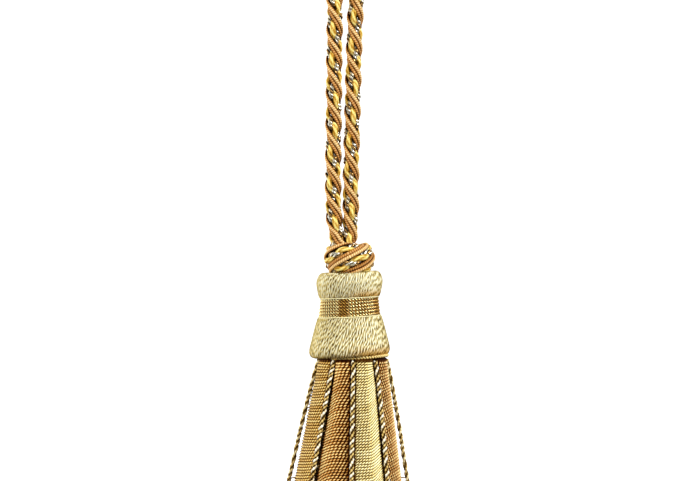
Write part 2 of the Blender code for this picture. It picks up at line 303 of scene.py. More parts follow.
# The gaps between the strips, with the cord that hangs over each
Seam = namedtuple("Seam", "name top_deg low_deg cord_low_deg gap")
SEAMS = [
    Seam("left", -88.0, -88.5, -89.0, 2.0 * MM),
    Seam("front_left", -34.0, -41.5, -38.0, 2.1 * MM),
    Seam("front", 1.0, 3.6, 3.2, 1.9 * MM),
    Seam("front_right", 41.5, 45.0, 41.5, 2.7 * MM),
    Seam("right", 90.0, 90.0, 89.5, 2.0 * MM),
    Seam("back_right", 149.0, 149.0, 149.5, 2.1 * MM),
    Seam("back", 193.5, 193.0, 193.0, 2.0 * MM),
    Seam("back_left", 232.5, 233.5, 233.0, 2.0 * MM),
]
# How each strip's threads rise to the right, how long their twist is, how far it leans over one thread and
# moves from thread to thread, and how deep the painted shade in the marks between plies and between threads
# is. Pairs of values stand for the strip's left side and its right side, and turn is where across it, from -1
# to 1, one side's look passes into the other's.
StripLook = namedtuple("StripLook", ["colour", "turn", "rise_deg", "twist_mm", "twist_lean", "twist_shift",
                                     "ply_depth", "rib_depth"])
STRIP_LOOKS = [
    StripLook("honey", (-1.0, 1.0), (2, 6), 1.25, 0.55, 0.4, (0.85, 0.7), (1.0, 1.0)),
    StripLook("bronze", (-0.8, 0.4), (30, 0), 1.35, 0.55, 0.3, (0.15, 0.95), (1.0, 1.05)),
    StripLook("champagne", (-0.05, 0.55), (3, 41), 1.15, 1.1, 1.1, (0.85, 0.15), (0.9, 1.1)),
    StripLook("bronze", (-0.5, 0.3), (16, 8), 1.25, 0.85, 0.6, (1.1, 0.1), (0.7, 0.95)),
    StripLook("honey", (-1.0, 1.0), (3, 8), 1.25, 0.55, 0.4, (0.9, 0.8), (0.95, 0.95)),
    StripLook("bronze", (-0.8, 0.6), (22, 2), 1.35, 0.55, 0.3, (0.2, 0.9), (1.0, 1.0)),
    StripLook("champagne", (0.0, 0.7), (4, 36), 1.15, 1.1, 1.1, (0.85, 0.15), (0.9, 1.1)),
    StripLook("bronze", (-1.0, 1.0), (14, 5), 1.25, 0.85, 0.55, (0.7, 0.4), (0.95, 1.05)),
]

# Skirt cords: two plies each, and how far each cord stands out from the strips, by height
CORD_COLOURS = ["cord_pale", "cord_olive", "honey", "cord_straw", "cord_gold"]
CordLay = namedtuple("CordLay", "first_colour second_colour first_radius second_radius orbit lead")
FRONT_CORD = CordLay("cord_pale", "cord_olive", 0.5 * MM, 0.44 * MM, 0.33 * MM, 4.0 * MM)
# The side cords are the same cord as the front ones, painted in straw and gold as it looks in shade at the
# sides
OUTER_CORD = CordLay("cord_straw", "cord_gold", 0.52 * MM, 0.5 * MM, 0.36 * MM, 5.6 * MM)
CORD_SIDES = 8
CORD_WRAP = 0.95 * MM
CORD_RELIEF = 0.13
# Painted shade in the grooves between a cord's wraps
CORD_TONE = 0.85
CORD_TONE_RIDGE = 0.3
CORD_UNEVEN = 0.9
CORD_UNEVEN_LEADS = 2.7
CORD_NUMBER = 7.0
CORD_STEP = 0.3 * MM
CORD_BOW_SMOOTH = 15
CordBow = namedtuple("CordBow", "z_mm stand_out_mm")
CORD_BOW = [
    CordBow(-171.4, -0.5),
    CordBow(-174.0, 0.0),
    CordBow(-180.6, 0.55),
    CordBow(-188.9, 1.0),
    CordBow(-197.5, 1.4),
    CordBow(-206.2, 1.6),
    CordBow(-214.8, 1.95),
    CordBow(-222.0, 2.0),
    CordBow(-229.0, 1.5),
    CordBow(-234.0, 0.8),
    CordBow(-236.4, 0.4),
]
# Heights of the stitches that hold each cord, by turns for one cord and the next
STITCH_LEVELS = [
    (-188.9 * MM, -214.1 * MM, -229.0 * MM),
    (-196.5 * MM, -208.7 * MM, -223.0 * MM),
]
STITCH_RADIUS = 0.17 * MM
STITCH_SIDES = 6
STITCH_POINTS = 6
STITCH_PAST_EDGE = 0.3 * MM
STITCH_SUNK = 0.6 * MM
STITCH_RISE = 0.3 * MM
STITCH_TONE = 0.9
# Heading under the head: an inner yarn that holds the cords, painted in shade, and a twisted row below the
# rim
HEADING_RADIUS = 10.1 * MM
HEADING_YARN = 0.8 * MM
HEADING_RINGS = 120
HEADING_SIDES = 8
HEADING_PAINTED_SHADE = 0.4
RIM_ROW_RADIUS = 11.75 * MM
RIM_ROW_LEAN = 1.75 * MM
RIM_ROW_RISE = 0.45 * MM
RIM_ROW_PLY = 0.42 * MM
RIM_ROW_ORBIT = 0.3 * MM
RIM_ROW_LEAD = 2.2 * MM
RIM_ROW_NUMBER = 90.0

# Studio: a round white sweep, in metres, and square lights round the tassel's middle
STAGE_BELOW_HEM = 40 * MM
STAGE_INNER = 0.05
STAGE_WALL = 1.8
STAGE_CURVE = 0.5
STAGE_CURVE_STEPS = 8
STAGE_TOP = 2.2
STAGE_SIDES = 64
STAGE_WHITE = 0.9
STAGE_GLOW = 0.7
WORLD_GLOW = 0.15
LIGHT_TARGET = (0.0, 0.0, -150 * MM)
LIGHT_DISTANCE = 1.2
Softbox = namedtuple("Softbox", "name azimuth_deg elevation_deg size power colour glossy")
SOFTBOXES = [
    Softbox("key_light", 50, 25, 0.6, 17.0, (0.95, 0.97, 1.0), True),
    Softbox("side_light", -114, 5, 2.4, 23.0, (1.0, 1.0, 1.0), True),
    Softbox("fill_light", -48, 22, 0.9, 12.0, (1.0, 0.98, 0.9), False),
    Softbox("back_light", 150, 15, 1.4, 8.0, (1.0, 1.0, 1.0), True),
]


# Mesh building

class Shape:
    """Grids of points gathered for one mesh, with a crest of painted shade and highlight, a warmth of painted
    reflection and shade, and a place along the yarn for each.
    """

    def __init__(self):
        self.points = []
        self.crests = []
        self.warms = []
        self.lays = []
        self.faces = []
        self.slots = []
        self.count = 0

    def add_grid(self, points, crest, lay, slot, closed=False, flip=False, capped=False, warm=0.0):
        """Quads over rows and columns. The last column joins the first, and where closed the last row too."""
        rows, columns = points.shape[:2]
        index = np.arange(rows * columns).reshape(rows, columns) + self.count
        below = np.roll(index, -1, axis=0)
        beside = np.roll(index, -1, axis=1)
        corner = np.roll(below, -1, axis=1)
        quads = np.stack([index, beside, corner, below], axis=-1)
        if not closed:
            quads = quads[:-1]
        quads = quads.reshape(-1, 4)
        if flip:
            quads = quads[:, ::-1]
        self.faces.append(quads)
        self.slots.append(np.full(len(quads), slot))
        self.points.append(points.reshape(-1, 3))
        self.crests.append(np.broadcast_to(crest, (rows, columns)).reshape(-1))
        self.warms.append(np.broadcast_to(warm, (rows, columns)).reshape(-1))
        self.lays.append(lay.reshape(-1, 3))
        self.count += rows * columns
        if capped:
            self.add_cap(points[0], index[0], lay[0], slot, flip)
            self.add_cap(points[-1], index[-1], lay[-1], slot, not flip)

    def add_cap(self, loop, index, lay, slot, flip):
        """Quads from a loop of an even number of points to its middle."""
        even = index[0::2]
        odd = index[1::2]
        after = np.roll(even, -1)
        middle = np.full(len(even), self.count)
        quads = np.stack([even, middle, after, odd], axis=-1)
        if flip:
            quads = quads[:, ::-1]
        self.faces.append(quads)
        self.slots.append(np.full(len(quads), slot))
        self.points.append(loop.mean(axis=0)[None])
        self.crests.append(np.zeros(1))
        self.warms.append(np.zeros(1))
        self.lays.append(lay.mean(axis=0)[None])
        self.count += 1

    def build(self, name, materials):
        mesh = bpy.data.meshes.new(name)
        points = np.concatenate(self.points).astype(np.float32)
        faces = np.concatenate(self.faces).astype(np.int32)
        mesh.from_pydata(points, [], faces)
        mesh.polygons.foreach_set("material_index", np.concatenate(self.slots).astype(np.int32))
        crest = mesh.attributes.new("crest", "FLOAT", "POINT")
        crest.data.foreach_set("value", np.concatenate(self.crests).astype(np.float32))
        warm = mesh.attributes.new("warm", "FLOAT", "POINT")
        warm.data.foreach_set("value", np.concatenate(self.warms).astype(np.float32))
        lay = mesh.attributes.new("lay", "FLOAT_VECTOR", "POINT")
        lay.data.foreach_set("vector", np.concatenate(self.lays).astype(np.float32).ravel())
        for material in materials:
            mesh.materials.append(material)
        mesh.shade_smooth()
        mesh.update()
        item = bpy.data.objects.new(name, mesh)
        bpy.context.scene.collection.objects.link(item)
        return item


def unit(vectors):
    return vectors / np.linalg.norm(vectors, axis=-1, keepdims=True)


def slope(line, closed):
    if closed:
        return np.roll(line, -1, axis=0) - np.roll(line, 1, axis=0)
    return np.gradient(line, axis=0)


def lengths_along(line):
    steps = np.linalg.norm(np.diff(line, axis=0), axis=1)
    return np.concatenate([[0.0], np.cumsum(steps)])


def add_tube(shape, centres, outward, reach, sides, slot, number=0.0, closed=False, shade=1.0, warm=0.0):
    """A tube of yarn along centres. reach is its radius: one value, or one for each ring or point."""
    along = unit(slope(centres, closed))
    outward = unit(outward - along * (outward * along).sum(axis=1, keepdims=True))
    side = np.cross(along, outward)
    angle = TURN * np.arange(sides) / sides
    reach = np.asarray(reach)
    if reach.ndim == 1:
        reach = reach[:, None]
    reach = np.broadcast_to(reach, (len(centres), sides))
    points = (centres[:, None, :]
              + (reach * np.cos(angle))[:, :, None] * outward[:, None, :]
              + (reach * np.sin(angle))[:, :, None] * side[:, None, :])
    shade = np.asarray(shade)
    if shade.ndim == 1:
        shade = shade[:, None]
    # Painted shade on the tube's sides and a painted highlight on its outward line, scaled by shade
    crest = np.clip(CREST_SIDE + CREST_SWING * np.cos(angle), 0.0, 1.0) * shade
    far = lengths_along(centres)
    lay = np.stack(np.broadcast_arrays(far[:, None] / MM, (angle * reach) / MM, number), axis=-1)
    warm = np.asarray(warm)
    if warm.ndim == 1:
        warm = warm[:, None]
    shape.add_grid(points, crest, lay, slot, closed=closed, capped=not closed, warm=warm)


# Smooth curves

def smooth_curve(points, spacing):
    """Points at an even spacing on the smooth curve through the route's points."""
    points = np.asarray(points)
    ends = np.concatenate([points[:1], points, points[-1:]])
    t = (np.arange(CURVE_STEPS) / CURVE_STEPS)[:, None]
    fine = []
    for before, start, end, after in zip(ends, ends[1:], ends[2:], ends[3:]):
        fine.append(0.5 * (2.0 * start + (end - before) * t
                           + (2.0 * before - 5.0 * start + 4.0 * end - after) * t ** 2
                           + (3.0 * start - before - 3.0 * end + after) * t ** 3))
    fine.append(points[-1:])
    fine = np.concatenate(fine)
    far = lengths_along(fine)
    even = np.linspace(0.0, far[-1], max(2, round(far[-1] / spacing)) + 1)
    return np.stack([np.interp(even, far, fine[:, axis]) for axis in range(points.shape[1])], axis=1)


def ease(share):
    share = np.clip(share, 0.0, 1.0)
    return share * share * (3.0 - 2.0 * share)


def round_points(angle, radius, height, lean=0.0):
    """Points at angles from the front towards +X."""
    across = lean + radius * np.sin(angle)
    deep = -radius * np.cos(angle)
    return np.stack(np.broadcast_arrays(across, deep, height), axis=-1)


# Materials

def linear(red, green, blue):
    """A colour as it shows on screen, from 0 to 255, in linear light."""
    def one(value):
        value /= 255.0
        return value / 12.92 if value <= 0.04045 else ((value + 0.055) / 1.055) ** 2.4
    return (one(red), one(green), one(blue), 1.0)


def new_material(name):
    material = bpy.data.materials.new(name)
    material.use_nodes = True
    shader = material.node_tree.nodes["Principled BSDF"]
    return material, material.node_tree, shader


def attribute_node(tree, name):
    """A node that reads one of the mesh's own values."""
    node = tree.nodes.new("ShaderNodeAttribute")
    node.attribute_name = name
    return node


def noise_socket(tree, vector, scale, detail):
    node = tree.nodes.new("ShaderNodeTexNoise")
    node.inputs["Scale"].default_value = scale
    node.inputs["Detail"].default_value = detail
    tree.links.new(vector, node.inputs["Vector"])
    return node.outputs["Fac"]


def math_socket(tree, operation, *terms):
    """The result of an operation on other sockets and plain numbers."""
    node = tree.nodes.new("ShaderNodeMath")
    node.operation = operation
    for place, term in zip(node.inputs, terms):
        if isinstance(term, float):
            place.default_value = term
        else:
            tree.links.new(term, place)
    return node.outputs[0]


# How much rougher yarn is between its plies than on their crests
DULL_CREVICE = 0.6
# The pattern of a yarn's fibres and of its paler and darker patches
FIBRE_SCALE = 1.3
FIBRE_DETAIL = 3.0
FIBRE_SHARE = 0.4
FIBRE_NUMBER_SCALE = 7.3
FIBRE_HIGH = 0.15 * MM
PATCH_SCALE = 0.45
PATCH_DETAIL = 2.0
YARN_SPECULAR = 0.3
WHITE = (1.0, 1.0, 1.0, 1.0)


def yarn_material(name, deep, body, crest, roughness=0.4, metallic=0.4, fibre=9.0, twist=2.0, bump=0.25,
                  patch=0.15, low=0.15, middle=0.5, high=0.9, painted_reflection_colour=None, shine=WHITE):
    """Yarn: painted shade where it sinks between its neighbours, a painted highlight on its crest, with fine
    slanting fibres.

    low, middle and high are the crest values of the colours deep, body and crest. painted_reflection_colour
    is the colour of the painted reflection and shade that the yarn takes where its warmth is full."""
    material, tree, shader = new_material(name)
    nodes, links = tree.nodes, tree.links
    lay = attribute_node(tree, "lay").outputs["Vector"]
    stretch = nodes.new("ShaderNodeMapping")
    stretch.inputs["Scale"].default_value = (1.0, fibre, FIBRE_NUMBER_SCALE)
    stretch.inputs["Rotation"].default_value = (0.0, 0.0, math.atan(1.0 / twist))
    links.new(lay, stretch.inputs["Vector"])
    fibres = noise_socket(tree, stretch.outputs["Vector"], FIBRE_SCALE, FIBRE_DETAIL)
    patches = noise_socket(tree, lay, PATCH_SCALE, PATCH_DETAIL)
    streaky = math_socket(tree, "MULTIPLY_ADD", fibres, FIBRE_SHARE, -FIBRE_SHARE / 2.0)
    patchy = math_socket(tree, "MULTIPLY_ADD", patches, 2.0 * patch, -patch)
    uneven = math_socket(tree, "ADD", streaky, patchy)
    # The crest value paints shade into crevices and a highlight onto crests through the colour ramp
    place = math_socket(tree, "ADD", uneven, attribute_node(tree, "crest").outputs["Fac"])
    ramp = nodes.new("ShaderNodeValToRGB")
    ramp.color_ramp.elements[0].position = low
    ramp.color_ramp.elements[0].color = deep
    ramp.color_ramp.elements[1].position = high
    ramp.color_ramp.elements[1].color = crest
    stop = ramp.color_ramp.elements.new(middle)
    stop.color = body
    links.new(place, ramp.inputs["Fac"])
    # Painted reflection and shade: the warmth multiplies the colour by painted_reflection_colour
    if painted_reflection_colour:
        warm = attribute_node(tree, "warm")
        painted_reflection_mix = nodes.new("ShaderNodeMix")
        painted_reflection_mix.data_type = "RGBA"
        painted_reflection_mix.blend_type = "MULTIPLY"
        links.new(warm.outputs["Fac"], painted_reflection_mix.inputs["Factor"])
        links.new(ramp.outputs["Color"], painted_reflection_mix.inputs["A"])
        painted_reflection_mix.inputs["B"].default_value = painted_reflection_colour
        links.new(painted_reflection_mix.outputs["Result"], shader.inputs["Base Color"])
    else:
        links.new(ramp.outputs["Color"], shader.inputs["Base Color"])
    raised = nodes.new("ShaderNodeBump")
    raised.inputs["Strength"].default_value = bump
    raised.inputs["Distance"].default_value = FIBRE_HIGH
    links.new(fibres, raised.inputs["Height"])
    links.new(raised.outputs["Normal"], shader.inputs["Normal"])
    gloss = nodes.new("ShaderNodeMapRange")
    gloss.inputs["From Min"].default_value = low
    gloss.inputs["From Max"].default_value = high
    gloss.inputs["To Min"].default_value = min(roughness + DULL_CREVICE, 1.0)
    gloss.inputs["To Max"].default_value = roughness
    links.new(place, gloss.inputs["Value"])
    links.new(gloss.outputs["Result"], shader.inputs["Roughness"])
    shader.inputs["Metallic"].default_value = metallic
    shader.inputs["Specular IOR Level"].default_value = YARN_SPECULAR
    shader.inputs["Specular Tint"].default_value = shine
    return material


def make_materials():
    warm_shine = linear(255, 214, 140)
    silk = {"roughness": 0.32, "metallic": 0.0, "shine": warm_shine}
    skirt_silk = {"low": 0.26, "middle": 0.6, "high": 0.95, **silk}
    metal = {"roughness": 0.22, "metallic": 0.85, "bump": 0.5, "fibre": 4.0, "twist": 1.0}
    band_metal = {"roughness": 0.24, "metallic": 0.78, "bump": 0.5, "fibre": 4.0, "twist": 1.0,
                  "shine": warm_shine}
    edge_cord = {"low": 0.28, "middle": 0.58, "high": 0.9, **silk}
    return {
        "gimp": yarn_material("peach_gimp", linear(38, 10, 0), linear(194, 126, 56),
                              linear(255, 232, 168), patch=0.1, low=0.28, middle=0.56, high=0.94, **silk),
        "floss": yarn_material("yellow_floss", linear(40, 20, 0), linear(196, 142, 40),
                               linear(255, 242, 150), fibre=5.0, twist=4.0, low=0.28, middle=0.55, high=0.96,
                               **silk),
        "silver": yarn_material("silver_metallic", linear(48, 28, 6), linear(232, 212, 168),
                                linear(255, 253, 236), patch=0.3, **metal),
        "dark": yarn_material("dark_metallic", linear(20, 8, 0), linear(84, 52, 16),
                              linear(206, 162, 96), patch=0.3, **metal),
        "core": yarn_material("rope_core", linear(50, 24, 0), linear(84, 48, 10), linear(110, 70, 20),
                              roughness=0.7, metallic=0.0),
        # The ivory's painted_reflection_colour is a painted warm reflection and shade near the band and the
        # rim
        "ivory": yarn_material("ivory_thread", linear(66, 44, 4), linear(222, 200, 126),
                               linear(255, 254, 228), roughness=0.34, metallic=0.0, fibre=6.0, twist=1.5,
                               low=0.08, middle=0.36, high=0.66, painted_reflection_colour=linear(226, 180, 96)),
        # The gold's painted_reflection_colour paints the band's dark reflections brown
        "gold": yarn_material("gold_metallic", linear(20, 6, 0), linear(255, 182, 46),
                              linear(255, 242, 176), patch=0.12, low=0.34, middle=0.53, high=0.76,
                              painted_reflection_colour=linear(184, 150, 100), **band_metal),
        # honey is the champagne strips' light gold painted in shade, more golden as on the shaded left side
        "honey": yarn_material("honey_silk", linear(48, 16, 0), linear(226, 166, 64),
                               linear(255, 244, 170), **skirt_silk),
        "bronze": yarn_material("bronze_silk", linear(36, 2, 0), linear(196, 122, 38),
                                linear(255, 230, 156), **skirt_silk),
        "champagne": yarn_material("champagne_silk", linear(66, 32, 0), linear(255, 226, 136),
                                   linear(255, 254, 212), **skirt_silk),
        "cord_pale": yarn_material("cord_pale", linear(64, 40, 8), linear(236, 214, 164),
                                   linear(255, 255, 246), patch=0.15, **edge_cord),
        "cord_straw": yarn_material("cord_straw", linear(96, 72, 28), linear(214, 184, 116),
                                    linear(255, 248, 206), patch=0.2, **edge_cord),
        "cord_gold": yarn_material("cord_gold", linear(84, 58, 18), linear(176, 142, 74),
                                   linear(250, 226, 160), patch=0.3, **edge_cord),
        "cord_olive": yarn_material("cord_olive", linear(18, 6, 0), linear(146, 108, 40),
                                    linear(236, 206, 130), patch=0.3, **edge_cord),
    }


MATERIALS = make_materials()


# Rope

def frame_along(line, outward, closed):
    """The direction along a line, outward from it and to its side, at each point."""
    along = unit(slope(line, closed))
    outward = unit(outward - along * (outward * along).sum(axis=1, keepdims=True))
    return along, outward, np.cross(along, outward)


def add_gimp_pair(shape, strand, outward, number, closed=False, lean=GIMP_LEAN):
    """Two wrapped cords side by side, the second painted in shade. lean is how far the first stands in front
    of the second.
    """
    along, outward, side = frame_along(strand, outward, closed)
    lean = np.broadcast_to(lean, len(strand))[:, None]
    apart = (side * np.cos(lean) + outward * np.sin(lean)) * GIMP_APART
    for way, shade in zip((1, -1), GIMP_PAINTED_SHADES):
        line = strand + outward * GIMP_LIFT + apart * way
        far = lengths_along(line)
        wraps = TURN * (far / GIMP_WRAP)[:, None] + TURN * np.arange(GIMP_SIDES) / GIMP_SIDES
        ridge = np.cos(wraps)
        # Painted shade in the grooves of the wraps, and on the second gimp
        add_tube(shape, line, outward, GIMP_RADIUS * (1.0 + GIMP_RELIEF * ridge), GIMP_SIDES,
                 ROPE_SLOTS.index("gimp"), number=number + way, closed=closed,
                 shade=shade * (GIMP_TONE + GIMP_TONE_RIDGE * ridge))


def add_mixed_pair(shape, strand, outward, number, start, closed=False):
    """A soft floss twisted with a metallic yarn of bright plies and a dark ply."""
    along, outward, side = frame_along(strand, outward, closed)
    far = lengths_along(strand)
    count = len(strand)
    if closed:
        rounds = round(far[-1] / MIXED_PERIOD)
        spin = TURN * rounds * np.arange(count) / count + start
        plies = TURN * round(far[-1] / METAL_LEAD) * np.arange(count) / count
    else:
        spin = TURN * far / MIXED_PERIOD + start
        plies = TURN * far / METAL_LEAD
    lift = outward * np.cos(spin)[:, None] + side * np.sin(spin)[:, None]
    aside = np.cross(along, lift)
    floss = strand + lift * FLOSS_OFFSET
    around = FLOSS_STREAKS * TURN * np.arange(FLOSS_SIDES) / FLOSS_SIDES
    streaks = np.cos(around + (TURN * far / FLOSS_STREAK)[:, None])
    # The floss is painted in shade along the grooves between its streaks
    add_tube(shape, floss[::2], outward[::2], FLOSS_RADIUS * (1.0 + FLOSS_RELIEF * streaks)[::2], FLOSS_SIDES,
             ROPE_SLOTS.index("floss"), number=number, closed=closed,
             shade=FLOSS_TONE + FLOSS_TONE_STREAK * streaks[::2])
    for ply, colour in enumerate(METAL_PLIES):
        turn = plies + TURN * ply / len(METAL_PLIES)
        around = -lift * np.cos(turn)[:, None] + aside * np.sin(turn)[:, None]
        line = strand - lift * METAL_OFFSET + around * METAL_ORBIT
        add_tube(shape, line, outward, METAL_RADIUS, METAL_SIDES, ROPE_SLOTS.index(colour),
                 number=number + METAL_NUMBER + ply, closed=closed)


def rope_route():
    route = [LEFT_FOOT_MM] + ROUTE_MM + [RIGHT_FOOT_MM]
    return smooth_curve(np.array(route) * MM, ROPE_STEP)


def make_rope():
    """The loop's four strands, laid round its route over a core, and drawn together at its feet."""
    line = rope_route()
    deep = np.tile([0.0, 1.0, 0.0], (len(line), 1))
    along = unit(np.gradient(line, axis=0))
    across = unit(np.cross(deep, along))
    drawn = ease((SQUEEZE_START - line[:, 2]) / (SQUEEZE_START - SQUEEZE_END))
    wide = 1.0 + (SQUEEZE_ACROSS - 1.0) * drawn
    thick = 1.0 + (SQUEEZE_DEEP - 1.0) * drawn
    far = lengths_along(line)
    turn = -TURN * far / ROPE_LEAD
    shape = Shape()
    change = ease((far / far[-1] - PAIR_CHANGE[0]) / (PAIR_CHANGE[1] - PAIR_CHANGE[0]))
    lean = GIMP_LEAN + (math.pi - 2.0 * GIMP_LEAN) * change
    for strand in range(4):
        angle = turn + strand * TURN / 4.0
        outward = across * (np.cos(angle) * wide)[:, None] + deep * (np.sin(angle) * thick)[:, None]
        if strand % 2 == 0:
            add_gimp_pair(shape, line + outward * STRAND_ORBIT, outward, YARNS_A_STRAND * strand, lean=lean)
        else:
            add_mixed_pair(shape, line + outward * MIXED_ORBIT, outward, YARNS_A_STRAND * strand,
                           ROPE_MIXED_START * strand)
    coarse = slice(None, None, CORE_EVERY)
    add_tube(shape, line[coarse], across[coarse], CORE_RADIUS * wide[coarse], CORE_SIDES,
             ROPE_SLOTS.index("core"), number=CORE_NUMBER)
    rope = shape.build("rope", [MATERIALS[name] for name in ROPE_SLOTS])
    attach(rope, "root")
    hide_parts("cord_loop")


def knot_curve(facing, angle, share=1.0):
    """Points on the knot's ring: facing is the place round its section, 0 outward and rising."""
    radius = KNOT_RING_RADIUS + share * KNOT_DEEP * np.cos(facing)
    return round_points(angle, radius, KNOT_MIDDLE + share * KNOT_TALL * np.sin(facing))


def make_knot():
    """A ring of the rope's strands, laid round a filling."""
    shape = Shape()
    angle = TURN * np.arange(KNOT_RINGS) / KNOT_RINGS
    for strand in range(KNOT_STRANDS):
        number = KNOT_NUMBER + YARNS_A_STRAND * strand
        facing = angle - math.radians(KNOT_CREST_DEG) + strand * TURN / KNOT_STRANDS
        outward = round_points(angle, np.cos(facing) / KNOT_DEEP, np.sin(facing) / KNOT_TALL)
        if strand % 2 == 0:
            add_gimp_pair(shape, knot_curve(facing, angle), outward, number, closed=True)
        else:
            add_mixed_pair(shape, knot_curve(facing, angle, KNOT_MIXED_SHARE), outward, number,
                           KNOT_MIXED_START * strand, closed=True)
    section = TURN * np.arange(KNOT_FILL_SIDES) / KNOT_FILL_SIDES
    filling = knot_curve(section[None, :], angle[::KNOT_FILL_EVERY, None], KNOT_FILL)
    shape.add_grid(filling, 0.0, filling / MM, ROPE_SLOTS.index("core"), closed=True)
    knot = shape.build("rope_knot", [MATERIALS[name] for name in ROPE_SLOTS])
    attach(knot, "root")
    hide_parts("knot")


# Head

def tilted(points):
    """The head's rows stand a little higher on the right."""
    points[..., 2] += HEAD_TILT * points[..., 0]
    return points


def make_head():
    """Two-ply threads side by side down the turned outline, as one closed mesh."""
    chance = np.random.default_rng(HEAD_SEED)
    outline = smooth_curve(np.array(HEAD_OUTLINE_MM) * MM, HEAD_ROW)
    rows = len(outline)
    far = lengths_along(outline)
    along = slope(outline, False)
    inward = unit(np.stack([-along[:, 1], along[:, 0]], axis=1))[:, None, None, :]
    sway = np.zeros((rows, HEAD_THREADS))
    for wave in THREAD_SWAY_LENGTHS:
        push = chance.normal(0.0, THREAD_SWAY, HEAD_THREADS)
        start = chance.uniform(0.0, TURN, HEAD_THREADS)
        sway += push * np.sin(TURN * far[:, None] / wave + start)
    bounds = TURN * np.arange(HEAD_THREADS) / HEAD_THREADS + sway
    after = np.roll(bounds, -1, axis=1)
    after[:, -1] += TURN
    share = np.arange(HEAD_COLUMNS) / HEAD_COLUMNS
    angle = bounds[:, :, None] + (after - bounds)[:, :, None] * share
    swell = chance.uniform(*THREAD_SWELL, HEAD_THREADS)
    start = np.cumsum(THREAD_PLY_LEAN + chance.normal(0.0, THREAD_PLY_UNEVEN, HEAD_THREADS))
    first = chance.uniform(0.0, TURN, HEAD_THREADS)
    waver = THREAD_WAVER * np.sin(TURN * far[:, None] / THREAD_WAVER_LENGTH + first)
    profile = np.sqrt(np.clip(1.0 - (2.0 * share - 1.0) ** 2, 0.0, 1.0))
    phase = far[:, None, None] / THREAD_PLY + (start + waver)[:, :, None] + THREAD_PLY_LEAN * share
    ply = np.abs(np.cos(math.pi * phase))
    smooth = HEAD_SMOOTH * ease((-np.sin(angle) - HEAD_SMOOTH_FROM) / (1.0 - HEAD_SMOOTH_FROM))
    ply = ply * (1.0 - smooth) + HEAD_SMOOTH_TONE * smooth
    height = profile * swell[None, :, None] * (1.0 - THREAD_PLY_RISE + THREAD_PLY_RISE * ply)
    reach = (height - THREAD_SUNK) * THREAD_RELIEF
    radius = outline[:, 0, None, None] - inward[..., 0] * reach
    z = outline[:, 1, None, None] - inward[..., 1] * reach
    points = tilted(round_points(angle, radius, z)).reshape(rows, -1, 3)
    # Painted shade at the threads' edges and in their ply marks, a painted highlight towards the right, and
    # painted shade on the lower head
    crest = THREAD_EDGE_TONE + (1.0 - THREAD_EDGE_TONE) * profile
    crest = crest * (THREAD_MARK_TONE + (1.0 - THREAD_MARK_TONE) * ply ** THREAD_MARK)
    crest = crest + HEAD_PAINTED_HIGHLIGHT * ease(HEAD_PAINTED_HIGHLIGHT_TURN[0] + HEAD_PAINTED_HIGHLIGHT_TURN[1] * np.sin(angle))
    lower = ease((HEAD_LOWER_FROM - outline[:, 1]) / HEAD_LOWER_DEEP)
    crest = (crest * (1.0 - HEAD_LOWER_SHADE * lower)[:, None, None]).reshape(rows, -1)
    number = np.arange(HEAD_THREADS)[None, :, None] * THREAD_NUMBER
    lay = np.stack(np.broadcast_arrays(far[:, None, None] / MM, share, number), axis=-1)
    # Painted warm reflection and shade near the band's top edge and the rim, most on the lit right
    warm = sum(np.exp(-((outline[:, 1] - edge) / HEAD_WARM_WIDE) ** 2) for edge in HEAD_WARM_EDGES)
    round_right = ease(HEAD_WARM_TURN[0] + HEAD_WARM_TURN[1] * np.sin(angle.reshape(rows, -1)))
    warm = warm[:, None] * (HEAD_WARM_LEAST + HEAD_WARM_MORE * round_right)
    shape = Shape()
    shape.add_grid(points, crest, lay.reshape(rows, -1, 3), 0, flip=True, capped=True, warm=warm)
    head = shape.build("thread_head", [MATERIALS["ivory"]])
    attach(head, "root")
    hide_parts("head")


def band_tone(angle):
    """How strong the band's painted dark reflection is at each angle, and how deep the painted shade between
    its plies is where it has painted glints.
    """
    brown = np.zeros(len(angle))
    glint = np.zeros(len(angle))
    for patch in BAND_PATCHES:
        away = np.abs((angle - math.radians(patch.middle_deg) + math.pi) % TURN - math.pi)
        share = ease(BAND_PATCH_FADE - BAND_PATCH_FADE * away / math.radians(patch.half_deg))
        brown += patch.brown * share
        glint += patch.glint * share
    return brown, glint


def add_twisted_ring(shape, circle, height, ply_radius, orbit, leads, phase, slot, number, lean=0.0,
                     toned=False):
    """A ring of two plies twisted together, with painted shade between the plies, and the band's painted dark
    reflections and glints where it is toned.
    """
    angle = TURN * np.arange(leads * BAND_RINGS_PER_LEAD) / (leads * BAND_RINGS_PER_LEAD)
    brown, glint = 0.0, 0.0
    if toned:
        brown, glint = band_tone(angle)
    outward = round_points(angle, 1.0, 0.0)
    for ply in (0.0, math.pi):
        spin = ply - leads * angle + phase
        line = round_points(angle, circle + orbit * np.cos(spin), height + orbit * np.sin(spin))
        line[..., 0] += lean
        # Painted shade where a ply turns inward, deeper in the painted glints
        shade = BAND_TONE + BAND_TONE_PLY * np.cos(spin)
        shade = shade - glint * BAND_GLINT_DEPTH * (0.5 - 0.5 * np.cos(spin))
        add_tube(shape, tilted(line), outward, ply_radius, TWISTED_SIDES, slot, number=number + ply,
                 closed=True, shade=shade, warm=brown)


